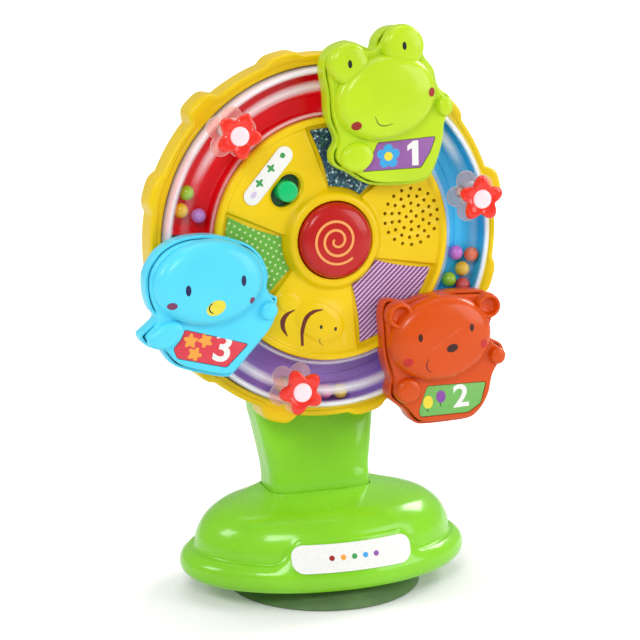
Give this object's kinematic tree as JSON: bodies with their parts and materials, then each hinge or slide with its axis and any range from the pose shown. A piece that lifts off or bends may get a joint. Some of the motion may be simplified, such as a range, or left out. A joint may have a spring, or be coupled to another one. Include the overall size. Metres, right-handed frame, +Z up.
{
  "type": "spinning wheel suction toy",
  "caption": "Ferris-wheel baby toy: a tilted disc on a green stand with suction cup, carrying animal push buttons, a round music button, bead tracks, flower lights and cloth patches.",
  "frame": {"origin": "on the table under the middle of the overall outline", "axes": "+Z up, the toy's face towards -Y and its right side, seen from the front, towards +X"},
  "size_m": [0.187, 0.094, 0.2722],
  "materials": {
    "battery_wrap": "glossy",
    "bear_label": "satin",
    "bear_plastic": "glossy",
    "bird_label": "satin",
    "bird_plastic": "glossy",
    "black_plastic": "matte",
    "blue_track": "satin",
    "board_green": "satin",
    "clear_plastic": "clear",
    "cup_rubber": "satin",
    "dot_cloth": "printed cloth",
    "flower_lens": "translucent",
    "frog_label": "satin",
    "frog_plastic": "glossy",
    "glitter_cloth": "glitter cloth",
    "green_bead": "glossy",
    "green_plastic": "glossy",
    "knob_green": "glossy",
    "orange_bead": "glossy",
    "pink_bead": "glossy",
    "purple_bead": "glossy",
    "purple_track": "satin",
    "red_bead": "glossy",
    "red_plastic": "glossy",
    "red_track": "satin",
    "steel": "brushed",
    "stripe_cloth": "printed cloth",
    "white_plastic": "matte",
    "white_print": "matte",
    "yellow_bead": "glossy",
    "yellow_plastic": "glossy"
  },
  "bodies": {
    "stand": {"suction_cup": "cup_rubber", "base_bottom_plate": "green_plastic", "base_shell": "green_plastic", "base_label": "white_print", "neck_front_shell": "green_plastic", "neck_back_shell": "green_plastic", "base_screw_left": "steel", "base_screw_right": "steel", "neck_screw_front": "steel", "neck_screw_back": "steel", "wheel_axle": "steel", "axle_screw": "steel"},
    "wheel": {"battery_1": "battery_wrap", "battery_2": "battery_wrap", "battery_box": "black_plastic", "battery_door": "yellow_plastic", "battery_door_screw": "steel", "bear_tray": "bear_plastic", "bird_tray": "bird_plastic", "blue_track": "blue_track", "circuit_board": "board_green", "dot_patch": "dot_cloth", "flower_led_bottom": "white_plastic", "flower_led_right": "white_plastic", "flower_led_top_left": "white_plastic", "flower_lens_bottom": "flower_lens", "flower_lens_right": "flower_lens", "flower_lens_top_left": "flower_lens", "frog_tray": "frog_plastic", "glitter_patch": "glitter_cloth", "purple_track": "purple_track", "red_track": "red_track", "shell_screw_1": "steel", "shell_screw_2": "steel", "shell_screw_3": "steel", "speaker": "black_plastic", "stripe_patch": "stripe_cloth", "switch_label": "white_print", "track_cover": "clear_plastic", "wheel_back_shell": "yellow_plastic", "wheel_front_panel": "yellow_plastic"},
    "frog_key": {"frog_button": "frog_plastic", "frog_number_label": "frog_label"},
    "bear_key": {"bear_button": "bear_plastic", "bear_number_label": "bear_label"},
    "bird_key": {"bird_button": "bird_plastic", "bird_number_label": "bird_label"},
    "music_key": {"music_button": "red_plastic"},
    "power_slider": {"power_switch_knob": "knob_green"},
    "red_track_beads": {"bead_green_in_red_track": "green_bead", "bead_purple_in_red_track": "purple_bead", "bead_yellow_in_red_track": "yellow_bead"},
    "blue_track_beads": {"bead_green_in_blue_track": "green_bead", "bead_orange_in_blue_track": "orange_bead", "bead_purple_in_blue_track": "purple_bead", "bead_red_in_blue_track": "red_bead", "bead_yellow_in_blue_track": "yellow_bead"},
    "purple_track_beads": {"bead_green_in_purple_track": "green_bead", "bead_pink_in_purple_track": "pink_bead", "bead_yellow_in_purple_track": "yellow_bead"}
  },
  "joints": [
    {"name": "wheel_spin", "type": "hinge", "parent": "stand", "child": "wheel", "pos_m": [0.0034, -0.0061, 0.172], "axis": [0, -0.9976, 0.0698], "continuous": true},
    {"name": "frog_press", "type": "slide", "parent": "wheel", "child": "frog_key", "axis": [0, 0.9976, -0.0698], "range_m": [0, 0.002], "stiffness_N_per_m": 300},
    {"name": "bear_press", "type": "slide", "parent": "wheel", "child": "bear_key", "axis": [0, 0.9976, -0.0698], "range_m": [0, 0.002], "stiffness_N_per_m": 300},
    {"name": "bird_press", "type": "slide", "parent": "wheel", "child": "bird_key", "axis": [0, 0.9976, -0.0698], "range_m": [0, 0.002], "stiffness_N_per_m": 300},
    {"name": "music_press", "type": "slide", "parent": "wheel", "child": "music_key", "axis": [0, 0.9976, -0.0698], "range_m": [0, 0.002], "stiffness_N_per_m": 300},
    {"name": "power_slide", "type": "slide", "parent": "wheel", "child": "power_slider", "axis": [0.6613, 0.0523, 0.7483], "range_m": [-0.003, 0.003]},
    {"name": "red_beads_roll", "type": "hinge", "parent": "wheel", "child": "red_track_beads", "pos_m": [0.0034, -0.0061, 0.172], "axis": [0, -0.9976, 0.0698], "range_deg": [-64, 2.5]},
    {"name": "blue_beads_roll", "type": "hinge", "parent": "wheel", "child": "blue_track_beads", "pos_m": [0.0034, -0.0061, 0.172], "axis": [0, -0.9976, 0.0698], "range_deg": [-2.2, 60.5]},
    {"name": "purple_beads_roll", "type": "hinge", "parent": "wheel", "child": "purple_track_beads", "pos_m": [0.0034, -0.0061, 0.172], "axis": [0, -0.9976, 0.0698], "range_deg": [-36, 16]}
  ]
}
